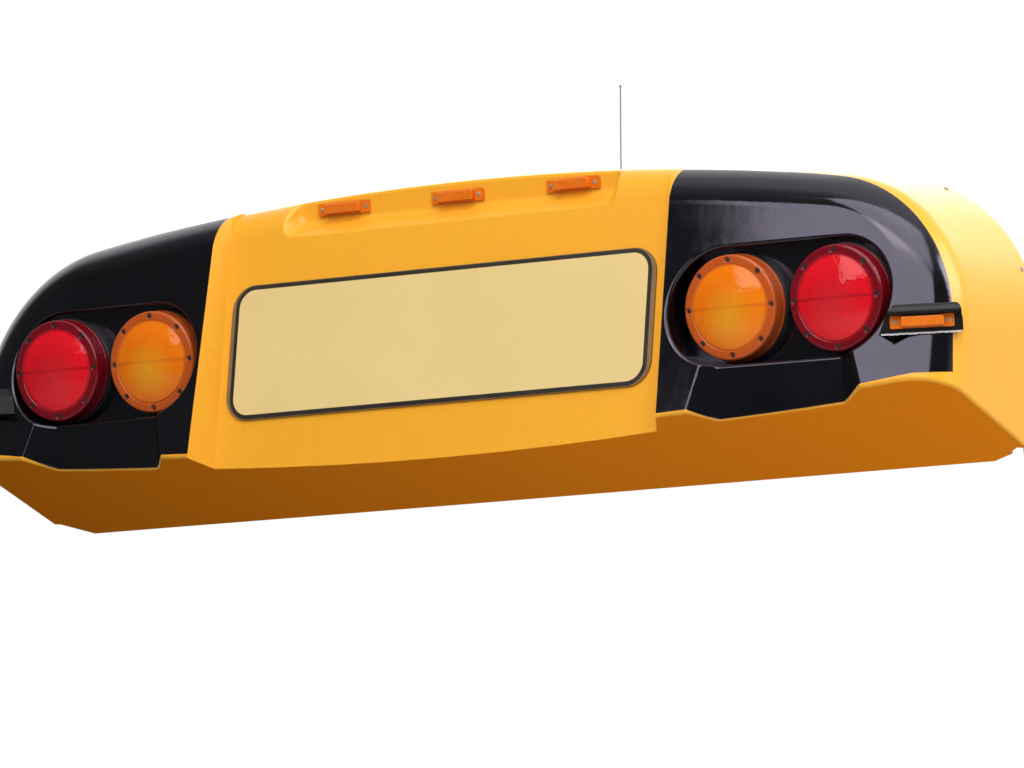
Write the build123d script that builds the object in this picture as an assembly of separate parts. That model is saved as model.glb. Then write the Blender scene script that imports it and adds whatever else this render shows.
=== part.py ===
"""Front roof cap of a small school bus: yellow shell, two black lamp pods, lamps, blank sign, aerial.

Millimetres. +Z up, the front faces -Y, +X is the right side seen from the front.
The origin is the centre of the four-bolt pattern on the rear flange.
"""
import math
import os

from build123d import *

os.makedirs("parts", exist_ok=True)

# Cross-section of the whole cap, seen from the front
HALF_WIDTH = 977
ROOF_TOP_Z = 355
CROWN_R = 5000
SHOULDER_R = 272
WALL = 5
SECTION_FOOT_Z = -420

# The warning lamps set the datum: their screw circle lies in this plane, at this height
LAMP_Y = -320
LAMP_Z = 90
LAMP_XS = (578, 778)

# Face of the pods: leans back, bowed in plan, rounded into roof and sides
FACE_Y = LAMP_Y - 35
FACE_LEAN = 15.1
FACE_R = 9200
FACE_ROUND = 85

# Sunk centre panel between the pods
PANEL_Y = LAMP_Y + 17
PANEL_LEAN = 12.2
PANEL_HALF_W = 441
PANEL_WALL_ANGLE = 28.8
PANEL_ROUND = 60
POD_EDGE_X = 462
POD_EDGE_TAPER = -0.027

# Soffit: slopes down to the cab roof, crowned across
SOFFIT_Z = LAMP_Z - 218
SOFFIT_SLOPE = 23
SOFFIT_R = 7350
SOFFIT_ROUND = 7

# Joint with the cab roof
CAB_FRONT_Y = LAMP_Y + 143
CAB_R = 3300
CAB_LIP_H = 30
CAB_MID_Z = LAMP_Z - 281
CAB_SIDE_Z = LAMP_Z - 251
CAB_RISE_X = (880, 962)
FOOT_W = 42
FOOT_FRONT_Y = -60

# Rear flange and its bolt holes
FLANGE_W = 42
BOLT_X = 950
BOLT_Z = 110
BOLT_R = 4.5

# Lamp pocket, a long slot round the two lamps, and the channel under it
POCKET_XS = (568, 778)
POCKET_Z = LAMP_Z + 2
POCKET_R = 96.5
POCKET_RIM_ROUND = 5.5
POCKET_FLOOR_Y = LAMP_Y + 48
CHANNEL_FLOOR = ((561, LAMP_Y - 22), (784, LAMP_Y))
CHANNEL_WALL_ANGLES = (42, 55)
CHANNEL_ROUND = 8
CHANNEL_REACH = 150
CHANNEL_TOP_Z = LAMP_Z - 60
CAN_HOLE_R = 76

# Where black pod ends and yellow shell begins: behind, below the face, and in the channel
PARTING_Y = LAMP_Y + 55
PARTING_LEAN = 10.3
PARTING_BAND = 6.5
PARTING_CORNER = ((1200, LAMP_Z - 139), (925, LAMP_Z - 133.5), (833, LAMP_Z - 145))
CHANNEL_BAND = 2.8
CHANNEL_LINE = ((524, LAMP_Z - 164.5), (571, LAMP_Z - 191), (779, LAMP_Z - 174), (834, LAMP_Z - 144.5))
PART_GAP = 1.5

# Scooped recess for the identification lamps
SCOOP_HALF_W = 332
SCOOP_WALL_HALF_W = 324
SCOOP_LIP = (LAMP_Y + 59, LAMP_Z + 194)
SCOOP_WALL = (LAMP_Y + 100, LAMP_Z + 218)
SCOOP_ROUND = 12
SCOOP_CORNER_ROUND = 20
SCOOP_MOUTH_ROUND = 6

# Sign
SIGN_PLATE = (848, 236, 44)
SIGN_LINE = (832, 233, 38)
SIGN_FIELD = (818, 219, 31)
SIGN_PLATE_T = 4
SIGN_SKIN_T = 1

# Warning lamp, radius and depth behind the screw plane
LENS_R = 89
LENS_DEPTH = 32
LENS_SCREW_CIRCLE_R = 78.5
LENS_SCREW_COUNT = 8
LENS_SCREW_R = 3.2

# Identification and clearance lamps
ID_XS = (-230, 0, 230)
ID_Z = LAMP_Z + 237
BAR_FLANGE = (104, 21, 3)
BAR_BODY = (70, 16.5, 14)
BAR_PAD = (98, 17, 2)
CLEARANCE_AT = (938, LAMP_Y - 2, LAMP_Z - 51)
CLEARANCE_TURN = 33
HOOD_OUTLINE = ((-69, -17), (66, -17), (66, 2), (61, 29), (-46, 29), (-56, 14))
HOOD_ROUNDS = (12, 14, 8)
HOOD_PROFILE = ((-16, 12), (-16, 19), (-9, 28), (90, 34))
HOOD_BROW_ROUND = 11

# Aerial on the roof
AERIAL_X = 215
AERIAL_Y = -45
AERIAL_BASE_R = 14
AERIAL_BASE_H = 7
AERIAL_BASE_ROUND = 4
WHIP_R = 1
WHIP_LENGTH = 145
WHIP_RAKE = 5

FAR = 700


def sin(angle):
    return math.sin(math.radians(angle))


def cos(angle):
    return math.cos(math.radians(angle))


def tan(angle):
    return math.tan(math.radians(angle))


def section(inset, foot_z):
    """Cross-section in the XZ plane: crown arc, shoulder arcs, straight sides."""
    half = HALF_WIDTH - inset
    crown = CROWN_R - inset
    shoulder = SHOULDER_R - inset
    crown_z = ROOF_TOP_Z - CROWN_R
    shoulder_x = HALF_WIDTH - SHOULDER_R
    reach = CROWN_R - SHOULDER_R
    shoulder_z = crown_z + math.sqrt(reach**2 - shoulder_x**2)
    tilt = math.asin(shoulder_x / reach)
    join = (crown * math.sin(tilt), crown_z + crown * math.cos(tilt))
    middle = (math.pi / 2 + tilt) / 2
    bend = (shoulder_x + shoulder * math.sin(middle), shoulder_z + shoulder * math.cos(middle))

    def mirrored(point):
        return (-point[0], point[1])

    side_top = (half, shoulder_z)
    foot = (half, foot_z)
    outline = [
        ThreePointArc(mirrored(join), (0, crown_z + crown), join),
        ThreePointArc(join, bend, side_top),
        Line(side_top, foot),
        Line(foot, mirrored(foot)),
        Line(mirrored(foot), mirrored(side_top)),
        ThreePointArc(mirrored(side_top), mirrored(bend), mirrored(join)),
    ]
    return Plane.XZ * make_face(outline)


def drum(point, along, inward, radius):
    """Large cylinder whose wall passes through a point; the cap lies inside it."""
    centre = Vector(*point) + Vector(*inward) * radius
    return Plane(origin=centre, x_dir=(1, 0, 0), z_dir=along) * Cylinder(radius, 4 * FAR)


def face_drum(inset):
    lean = (0, sin(FACE_LEAN), cos(FACE_LEAN))
    inward = (0, cos(FACE_LEAN), -sin(FACE_LEAN))
    start = (0, FACE_Y + inset * inward[1], LAMP_Z + inset * inward[2])
    return drum(start, lean, inward, FACE_R - inset)


def soffit_drum(inset):
    along = (0, cos(SOFFIT_SLOPE), -sin(SOFFIT_SLOPE))
    inward = (0, sin(SOFFIT_SLOPE), cos(SOFFIT_SLOPE))
    start = (0, LAMP_Y + inset * inward[1], SOFFIT_Z + inset * inward[2])
    return drum(start, along, inward, SOFFIT_R - inset)


def section_run(inset, rear_y):
    """The section run forwards from the rear edge."""
    return Pos(0, rear_y, 0) * extrude(section(inset, SECTION_FOOT_Z + inset), FAR, dir=(0, -1, 0))


def front_edges(solid):
    """Edges round the front face, without the one at its foot."""
    return solid.faces().sort_by(Axis.Y)[0].edges().sort_by(Axis.Z)[1:]


def pod_block(inset, rear_y):
    """Whole form with the pods' face all across."""
    block = section_run(inset, rear_y) & face_drum(inset)
    block = fillet(front_edges(block), FACE_ROUND - inset)
    return block & soffit_drum(inset)


def panel_plane(inset):
    """Lies in the centre panel: local y points back into the cap, local z up the lean."""
    at = (0, PANEL_Y + inset * cos(PANEL_LEAN), LAMP_Z - inset * sin(PANEL_LEAN))
    return Plane(origin=at, x_dir=(1, 0, 0), z_dir=(0, sin(PANEL_LEAN), cos(PANEL_LEAN)))


def centre_block(inset, rear_y):
    """Form of the middle, with its own rounding into the roof."""
    behind = panel_plane(inset) * Pos(0, FAR, 0) * Box(4 * FAR, 2 * FAR, 4 * FAR)
    block = section_run(inset, rear_y) & behind
    crown_edge = front_edges(block).sort_by(Axis.Z)[-1]
    return fillet(crown_edge, PANEL_ROUND - inset)


def panel_slot(inset):
    """Room in front of the centre panel, with sloped side walls."""
    half = PANEL_HALF_W + inset * (1 - sin(PANEL_WALL_ANGLE)) / cos(PANEL_WALL_ANGLE)
    reach = 200
    wide = half + reach * tan(PANEL_WALL_ANGLE)
    outline = Polygon((-half, 0), (half, 0), (wide, -reach), (-wide, -reach), align=None)
    slot = extrude(panel_plane(inset) * outline, FAR, both=True)
    top_box = Pos(0, PANEL_Y, ROOF_TOP_Z) * Box(2 * half, 300, 220)
    return slot + top_box


def pocket(side, grow):
    """Slot round a pair of lamps, open to the front."""
    middle = side * sum(POCKET_XS) / 2
    outline = SlotCenterToCenter(POCKET_XS[1] - POCKET_XS[0], 2 * (POCKET_R + grow))
    floor = Plane(origin=(middle, POCKET_FLOOR_Y + grow, POCKET_Z), x_dir=(1, 0, 0), z_dir=(0, -1, 0))
    return extrude(floor * outline, FAR)


def channel(side, grow):
    """Channel under the pocket: upright floor, splayed walls, open to the front and below."""
    (x_in, y_in), (x_out, y_out) = CHANNEL_FLOOR
    in_run = CHANNEL_REACH * tan(CHANNEL_WALL_ANGLES[0])
    out_run = CHANNEL_REACH * tan(CHANNEL_WALL_ANGLES[1])
    corners = [
        (side * x_in, y_in),
        (side * (x_in - in_run), y_in - CHANNEL_REACH),
        (side * (x_out + out_run), y_out - CHANNEL_REACH),
        (side * x_out, y_out),
    ]
    outline = Polygon(*corners, align=None)
    if grow:
        outline = offset(outline, grow, kind=Kind.INTERSECTION)
    return extrude(Pos(0, 0, CHANNEL_TOP_Z + grow) * outline, FAR, dir=(0, 0, -1))


def scoop(grow):
    """Recess for the identification lamps: shelf rising to an upright wall, open at the roof."""
    lip_y, lip_z = SCOOP_LIP
    wall_y, wall_z = SCOOP_WALL
    shelf_slope = (wall_z - lip_z) / (wall_y - lip_y)
    outline = Polygon(
        (lip_y - 200, lip_z - 200 * shelf_slope),
        (wall_y, wall_z),
        (wall_y, ROOF_TOP_Z + 60),
        (lip_y - 200, ROOF_TOP_Z + 60),
        align=None,
    )
    splay = (SCOOP_HALF_W - SCOOP_WALL_HALF_W) / (wall_y - lip_y)
    wide = SCOOP_HALF_W + 200 * splay
    plan = Polygon(
        (-SCOOP_WALL_HALF_W, wall_y),
        (-wide, lip_y - 200),
        (wide, lip_y - 200),
        (SCOOP_WALL_HALF_W, wall_y),
        align=None,
    )
    if grow:
        outline = offset(outline, grow, kind=Kind.INTERSECTION)
        plan = offset(plan, grow, kind=Kind.INTERSECTION)
    cutter = extrude(Plane.YZ * outline, FAR, both=True) & extrude(plan, FAR)
    shelf = cutter.faces().filter_by(lambda f: f.normal_at().Z < -0.3 and f.normal_at().Y > 0.1)[0]
    shelf_ends = shelf.edges().filter_by(lambda e: abs(e.center().X) > SCOOP_WALL_HALF_W / 2)
    cutter = fillet(shelf_ends, SCOOP_CORNER_ROUND + grow)
    wall = cutter.faces().sort_by(Axis.Y)[-1]
    return fillet(wall.edges().sort_by(Axis.Z)[:-1], SCOOP_ROUND + grow)


def scoop_mouth(solid):
    """Edges where the scoop opens through the panel and the roof."""
    tool = scoop(0)
    (_, lip_z), (wall_y, _) = SCOOP_LIP, SCOOP_WALL
    near = solid.edges().filter_by(lambda e: abs((e @ 0.5).X) < SCOOP_HALF_W + 10)
    near = near.filter_by(lambda e: (e @ 0.5).Z > lip_z - 5 and LAMP_Y < (e @ 0.5).Y < wall_y + 5)
    on_tool = near.filter_by(lambda e: tool.distance_to(Vertex(e @ 0.45)) < 0.05)
    return on_tool.filter_by(lambda e: min(rib.distance_to(Vertex(e @ 0.45)) for rib in tool.edges()) > 0.3)


def form(inset, rear_y):
    """Solid form of the cap with pockets, channels, panel and scoop taken out."""
    solid = pod_block(inset, rear_y)
    for side in (-1, 1):
        solid -= channel(side, inset)
        solid -= pocket(side, inset)
    if not inset:
        solid = fillet(channel_corners(solid), CHANNEL_ROUND)
        solid = fillet(soffit_edges(solid), SOFFIT_ROUND)
        solid = fillet(pocket_rims(solid), POCKET_RIM_ROUND)
    solid -= panel_slot(inset) - centre_block(inset, rear_y)
    solid -= scoop(inset)
    return solid if inset else fillet(scoop_mouth(solid), SCOOP_MOUTH_ROUND)


def channel_corners(solid):
    """Upright corners of both channels, from the soffit up to the pocket."""
    (inner_x, _), (outer_x, _) = CHANNEL_FLOOR
    near = solid.edges().filter_by(lambda e: inner_x - 60 < abs(e.center().X) < outer_x + 60)
    low = near.filter_by(lambda e: e.center().Z < POCKET_Z - POCKET_R)
    return low.filter_by(lambda e: abs((e @ 1 - e @ 0).Z) > 30)


def soffit_edges(solid):
    """All edges round the soffit except the one at its rear."""
    soffit = solid.faces().filter_by(lambda f: f.normal_at().Z < -0.7).sort_by(SortBy.AREA)[-1]
    return soffit.edges().sort_by(Axis.Y)[:-1]


def pocket_gap(point):
    """Distance between a point and the pocket's outline, seen from the front."""
    inner_x, outer_x = POCKET_XS
    nearest_x = min(max(abs(point.X), inner_x), outer_x)
    return abs(math.hypot(abs(point.X) - nearest_x, point.Z - POCKET_Z) - POCKET_R)


def pocket_rims(solid):
    """Front edges of the pocket walls, without the seams that run straight back."""
    steps = (0, 0.3, 0.7, 1)
    on_wall = solid.edges().filter_by(lambda e: max(pocket_gap(e @ step) for step in steps) < 0.1)
    front = on_wall.filter_by(lambda e: e.center().Y < POCKET_FLOOR_Y - 2)
    return front.filter_by(lambda e: math.hypot((e @ 1 - e @ 0).X, (e @ 1 - e @ 0).Z) > 1)


def cab_cut():
    """Room for the cab roof below and behind the joint."""
    flat, rise = CAB_RISE_X
    deep = SECTION_FOOT_Z - 100
    outline = Polygon(
        (-HALF_WIDTH - 50, deep),
        (-HALF_WIDTH - 50, CAB_SIDE_Z),
        (-rise, CAB_SIDE_Z),
        (-flat, CAB_MID_Z),
        (flat, CAB_MID_Z),
        (rise, CAB_SIDE_Z),
        (HALF_WIDTH + 50, CAB_SIDE_Z),
        (HALF_WIDTH + 50, deep),
        align=None,
    )
    roof = Pos(0, 50, 0) * extrude(Plane.XZ * outline, FAR, dir=(0, -1, 0))
    opening = cab_drum(0, -FAR, LAMP_Z - 180) & Box(2 * (HALF_WIDTH - FOOT_W), 4 * FAR, 4 * FAR)
    return roof + opening


def cab_drum(grow, low_z, high_z):
    """Upright cylinder whose front wall is the curve of the cab joint."""
    height = high_z - low_z
    return Pos(0, CAB_FRONT_Y + CAB_R, (low_z + high_z) / 2) * Cylinder(CAB_R + grow, height)


def cab_lip():
    """Upturned lip along the soffit's rear edge."""
    ring = cab_drum(WALL, -FAR, FAR) - cab_drum(0, -FAR, FAR)
    band = soffit_drum(0) - soffit_drum(CAB_LIP_H)
    lip = ring & band & section_run(1, -1)
    return lip & Pos(0, -200, 0) * Box(2 * (HALF_WIDTH - FOOT_W), 400, 4 * FAR)


def feet():
    """Inward flanges at the bottom of the side walls."""
    middle_x = HALF_WIDTH - WALL / 2 - FOOT_W / 2
    run = -FOOT_FRONT_Y - WALL / 2
    return [
        Pos(side * middle_x, FOOT_FRONT_Y + run / 2, CAB_SIDE_Z + WALL / 2) * Box(FOOT_W, run, WALL)
        for side in (-1, 1)
    ]


def bolt_holes():
    """Four holes in a rectangle through the side legs of the rear flange."""
    places = [(x, z) for x in (-BOLT_X, BOLT_X) for z in (-BOLT_Z, BOLT_Z)]
    return [Pos(x, 0, z) * Rot(90, 0, 0) * Cylinder(BOLT_R, 40) for x, z in places]


def front_prism(side, outline):
    """Prism from the rear edge forwards, over an outline seen from the front."""
    mirrored = [(side * x, z) for x, z in outline]
    return extrude(Plane.XZ * Polygon(*mirrored, align=None), FAR, dir=(0, -1, 0))


def pod_zone(side):
    """Everything that is black pod: the front skin up to the parting line, pocket and channel."""
    low_z, high_z = -400, 500
    inner_low = POD_EDGE_X + POD_EDGE_TAPER * (low_z - LAMP_Z)
    inner_high = POD_EDGE_X + POD_EDGE_TAPER * (high_z - LAMP_Z)
    (outer_x, _), (corner_x, _) = PARTING_CORNER[0], PARTING_CORNER[-1]
    ends = [(corner_x, low_z), (inner_low, low_z), (inner_high, high_z), (outer_x, high_z)]
    skin = front_prism(side, [*PARTING_CORNER, *ends])
    lean = (0, sin(PARTING_LEAN), cos(PARTING_LEAN))
    parting = Plane(origin=(0, PARTING_Y, LAMP_Z), x_dir=(1, 0, 0), z_dir=lean)
    skin &= parting * Pos(0, -FAR, 0) * Box(4 * FAR, 2 * FAR, 4 * FAR)
    deep = WALL + PART_GAP
    tongue_top = [(CHANNEL_LINE[-1][0], CHANNEL_TOP_Z), (CHANNEL_LINE[0][0], CHANNEL_TOP_Z)]
    tongue = front_prism(side, [*CHANNEL_LINE, *tongue_top])
    low_part = channel(side, deep) & tongue & soffit_drum(CHANNEL_BAND)
    high_part = (skin + channel(side, deep)) & soffit_drum(PARTING_BAND)
    return pocket(side, deep) + high_part + low_part


def can_holes(side):
    """Openings in the pocket floor for the lamp cans."""
    hole = Rot(90, 0, 0) * Cylinder(CAN_HOLE_R, 40)
    return [Pos(side * x, POCKET_FLOOR_Y, LAMP_Z) * hole for x in LAMP_XS]


def sign_plate(size, low, high):
    """Rounded plate lying on the centre panel between two heights above it."""
    width, height, corner = size
    facing = (0, -cos(PANEL_LEAN), sin(PANEL_LEAN))
    plane = Plane(origin=(0, PANEL_Y, LAMP_Z), x_dir=(1, 0, 0), z_dir=facing).offset(low)
    return extrude(plane * RectangleRounded(width, height, corner), high - low)


def turned(outline):
    """Solid of revolution about Y from an outline of radius and depth."""
    return revolve(make_face(outline), Axis.Y)


def dome(start, end):
    """Arc centred on the Y axis, between two points given as radius and depth."""
    (start_r, start_y), (end_r, end_y) = start, end
    centre = (end_r**2 + end_y**2 - start_r**2 - start_y**2) / (2 * (end_y - start_y))
    radius = math.hypot(start_r, start_y - centre)
    middle = (math.atan2(start_r, start_y - centre) + math.atan2(end_r, end_y - centre)) / 2
    return ThreePointArc(start, (radius * math.sin(middle), centre + radius * math.cos(middle)), end)


def lens_shape():
    """Cup-shaped lens with a shallow dome and eight screw holes in its flat rim."""
    bead = LENS_DEPTH - 6
    outline = [
        dome((0, -11), (71, 0)),
        Polyline((71, 0), (83, 0), (87, 4), (LENS_R - 1, bead), (LENS_R, bead), (LENS_R, LENS_DEPTH)),
        Polyline((LENS_R, LENS_DEPTH), (85, LENS_DEPTH), (84.5, 6), (82.5, 3), (71, 3)),
        dome((71, 3), (0, -8)),
        Line((0, -8), (0, -11)),
    ]
    lens = turned(outline)
    for index in range(LENS_SCREW_COUNT):
        angle = 360 / LENS_SCREW_COUNT * index
        at = (LENS_SCREW_CIRCLE_R * sin(angle), 0, LENS_SCREW_CIRCLE_R * cos(angle))
        lens -= Pos(*at) * Rot(90, 0, 0) * Cylinder(LENS_SCREW_R, 12)
    return lens


def housing_shape():
    """Mounting ring on the pocket floor, with a can through it, open at the front."""
    floor = POCKET_FLOOR_Y - LAMP_Y
    back = floor + 62
    outline = Polyline(
        (72.5, LENS_DEPTH),
        (90, LENS_DEPTH),
        (92, LENS_DEPTH + 3),
        (92, floor),
        (75, floor),
        (75, back - 12),
        (63, back),
        (15, back),
        (15, back - 3),
        (62, back - 3),
        (72.5, back - 13),
        (72.5, LENS_DEPTH),
    )
    return turned(outline)


def beam_shape():
    """Sealed beam: domed front glass, rim, bowl and cap."""
    outline = [
        dome((0, 10), (70, 24)),
        Polyline((70, 24), (72, 27), (79, 27), (79, LENS_DEPTH), (71, LENS_DEPTH), (69, 36)),
        dome((69, 36), (24, 82)),
        Polyline((24, 82), (24, 90), (0, 90), (0, 10)),
    ]
    return turned(outline)


def boot_shape():
    """Rubber boot in the back of the can."""
    back = POCKET_FLOOR_Y - LAMP_Y + 62
    outline = Polyline(
        (0, 90),
        (14.5, 90),
        (14.5, back),
        (21, back),
        (21, back + 4),
        (13, back + 10),
        (9, back + 26),
        (0, back + 26),
        (0, 90),
    )
    return turned(outline)


def bar(size, corner):
    """Flat block with rounded corners, standing out to -Y from a wall at Y 0."""
    width, height, depth = size
    facing = Plane(origin=(0, 0, 0), x_dir=(1, 0, 0), z_dir=(0, -1, 0))
    return extrude(facing * RectangleRounded(width, height, corner), depth)


def bar_lens():
    """Lens of a small bar lamp: thin flange with screw ends and a raised middle."""
    body = bar(BAR_BODY, 2.5)
    body = fillet(body.faces().sort_by(Axis.Y)[0].edges(), 2)
    return bar(BAR_FLANGE, 2) + body


def hood_shape(side):
    """Clearance lamp base with a visor over the lens; it is trimmed to the shell later."""
    face = Polygon(*[(side * x, z) for x, z in HOOD_OUTLINE], align=None)
    for (x, z), radius in zip(HOOD_OUTLINE[-3:], HOOD_ROUNDS):
        corner = face.vertices().sort_by(lambda v: (v.X - side * x) ** 2 + (v.Y - z) ** 2)[0]
        face = fillet(corner, radius)
    foot_z = HOOD_OUTLINE[0][1]
    profile = Polygon((90, foot_z), (0, foot_z), (0, 12), *HOOD_PROFILE, align=None)
    for y, z in HOOD_PROFILE[1:3]:
        corner = profile.vertices().sort_by(lambda v: (v.X - y) ** 2 + (v.Y - z) ** 2)[0]
        profile = fillet(corner, HOOD_BROW_ROUND)
    return extrude(Plane.XZ * face, 100, both=True) & extrude(Plane.YZ * profile, 100, both=True)


def clearance_place(side):
    return Pos(side * CLEARANCE_AT[0], *CLEARANCE_AT[1:]) * Rot(0, 0, side * CLEARANCE_TURN)


def side_name(side):
    return "right" if side > 0 else "left"


def save(node, shape):
    shape.label = node
    export_step(shape, f"parts/{node}.step")


def build_shell():
    """Yellow shell and both pods, cut from one moulding at the paint line."""
    outer = form(0, 0)
    inner = form(WALL, 60)
    rear_wall = Pos(0, 100 - WALL, 0) * Box(4 * FAR, 200, 4 * FAR)
    inner -= rear_wall
    rear_opening = Pos(0, 50, 0) * extrude(section(FLANGE_W, SECTION_FOOT_Z - 50), 100)
    shell = outer - inner - rear_opening
    shell += cab_lip()
    shell -= cab_cut()
    for foot in feet():
        shell += foot
    for hole in bolt_holes():
        shell -= hole
    pods = {}
    for side in (-1, 1):
        zone = pod_zone(side)
        pod = shell & zone
        for hole in can_holes(side):
            pod -= hole
        pods[side] = pod
        shell -= zone
    return shell, pods


def main():
    shell, pods = build_shell()
    save("cap_shell", shell)
    for side, pod in pods.items():
        save(f"lamp_pod_{side_name(side)}", pod)

    plate_top = SIGN_PLATE_T
    skin_top = SIGN_PLATE_T + SIGN_SKIN_T
    border = sign_plate(SIGN_LINE, plate_top, skin_top) - sign_plate(SIGN_FIELD, plate_top, skin_top)
    save("sign_plate", sign_plate(SIGN_PLATE, 0, plate_top))
    save("sign_border", border)
    save("sign_face", sign_plate(SIGN_FIELD, plate_top, skin_top))

    lamp_parts = {
        "lens": lens_shape(),
        "housing": housing_shape(),
        "beam": beam_shape(),
        "boot": boot_shape(),
    }
    for side in (-1, 1):
        for x, colour in zip(LAMP_XS, ("amber", "red")):
            for part, shape in lamp_parts.items():
                node = f"{colour}_{part}_{side_name(side)}"
                save(node, Pos(side * x, LAMP_Y, LAMP_Z) * shape)

    wall_y = SCOOP_WALL[0]
    for x, name in zip(ID_XS, ("left", "middle", "right")):
        save(f"identification_base_{name}", Pos(x, wall_y, ID_Z) * bar(BAR_PAD, 2))
        save(f"identification_lens_{name}", Pos(x, wall_y - BAR_PAD[2], ID_Z) * bar_lens())

    block = pod_block(0, 0)
    for side in (-1, 1):
        place = clearance_place(side)
        save(f"clearance_hood_{side_name(side)}", place * hood_shape(side) - block)
        save(f"clearance_lens_{side_name(side)}", place * bar_lens())

    roof_z = ROOF_TOP_Z - AERIAL_X**2 / (2 * CROWN_R)
    foot = Pos(AERIAL_X, AERIAL_Y, roof_z)
    base = foot * Pos(0, 0, AERIAL_BASE_H / 2 - 2) * Cylinder(AERIAL_BASE_R, AERIAL_BASE_H + 4)
    base = fillet(base.faces().sort_by(Axis.Z)[-1].edges(), AERIAL_BASE_ROUND) - block
    whip_start = foot * Pos(0, 0, AERIAL_BASE_H) * Rot(-WHIP_RAKE, 0, 0)
    whip = whip_start * Pos(0, 0, WHIP_LENGTH / 2) * Cylinder(WHIP_R, WHIP_LENGTH)
    whip += whip_start * Pos(0, 0, WHIP_LENGTH) * Sphere(2 * WHIP_R)
    save("aerial_base", base)
    save("aerial_whip", whip - base)


main()
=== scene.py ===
import math

import bmesh
import bpy
from mathutils import Matrix, Vector
from mathutils.bvhtree import BVHTree


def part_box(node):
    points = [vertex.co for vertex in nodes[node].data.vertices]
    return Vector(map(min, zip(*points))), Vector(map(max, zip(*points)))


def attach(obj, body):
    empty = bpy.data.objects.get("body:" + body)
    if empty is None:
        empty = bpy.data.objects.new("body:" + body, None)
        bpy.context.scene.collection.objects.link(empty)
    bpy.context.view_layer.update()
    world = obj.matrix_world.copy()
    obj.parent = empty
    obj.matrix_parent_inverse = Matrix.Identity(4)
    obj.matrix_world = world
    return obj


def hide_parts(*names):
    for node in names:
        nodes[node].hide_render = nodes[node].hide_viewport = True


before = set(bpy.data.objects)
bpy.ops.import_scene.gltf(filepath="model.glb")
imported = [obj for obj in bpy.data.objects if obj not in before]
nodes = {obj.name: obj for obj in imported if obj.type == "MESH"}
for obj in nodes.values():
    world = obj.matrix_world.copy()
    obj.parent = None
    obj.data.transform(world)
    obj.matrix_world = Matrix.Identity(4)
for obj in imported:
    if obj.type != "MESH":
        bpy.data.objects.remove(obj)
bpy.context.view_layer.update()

scene = bpy.context.scene
MM = 0.001

# Places that the solids share, in millimetres and degrees
LAMP_Y = -320
LAMP_Z = 90
LAMP_XS = {"amber": 578, "red": 778}
SIDES = {"left": -1, "right": 1}
PLACES = ("left", "middle", "right")
SCREW_CIRCLE_R = 78.5
SCREW_COUNT = 8
BAR_SCREW_X = 43
HOOD_AT = (938, LAMP_Y - 2, LAMP_Z - 51)
HOOD_TURN = 33

# What is painted on a warning lens, in millimetres from its centre: painted shade towards the rim, a painted
# highlight below the centre, and painted shade stripes for the flutes and the bar across them. Each is
# nothing at its first value and full at its second.
RIM_SHADE_RADII = (66, 74)
HIGHLIGHT_DROP = 14
HIGHLIGHT_RADII = (52, 4)
FLUTE_PITCH = 4.7
FLUTE_SHADE_RADII = (56, 18)
BAR_SHADE_HEIGHTS = (4, 1)
FLUTE_SHADE = 0.45

# Camera: stands low to the right of the cap and looks slightly up
CAMERA_AT = (7.4265, -11.7383, -0.7615)
CAMERA_AZIMUTH = 0.567394
CAMERA_PITCH = 0.055974
CAMERA_ROLL = 0.053682
FOCAL_PIXELS = 8170.4
IMAGE_WIDTH = 1024
SENSOR_MM = 36
CLIP_END = 200
FLOOR_Z = -0.775


def make_camera():
    """Camera whose place, turn and lens fit the photograph."""
    azimuth, pitch, roll = CAMERA_AZIMUTH, CAMERA_PITCH, CAMERA_ROLL
    level = math.cos(pitch)
    ahead = Vector((-math.sin(azimuth) * level, math.cos(azimuth) * level, math.sin(pitch)))
    right = Vector((math.cos(azimuth), math.sin(azimuth), 0))
    up = right.cross(ahead)
    rolled_right = right * math.cos(roll) - up * math.sin(roll)
    rolled_up = right * math.sin(roll) + up * math.cos(roll)
    turn = Matrix((rolled_right, rolled_up, -ahead)).transposed().to_4x4()
    data = bpy.data.cameras.new("photo_camera")
    data.sensor_width = SENSOR_MM
    data.lens = FOCAL_PIXELS / IMAGE_WIDTH * SENSOR_MM
    data.clip_end = CLIP_END
    camera = bpy.data.objects.new("photo_camera", data)
    camera.matrix_world = Matrix.Translation(CAMERA_AT) @ turn
    scene.collection.objects.link(camera)
    scene.camera = camera


make_camera()


# Materials

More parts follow.
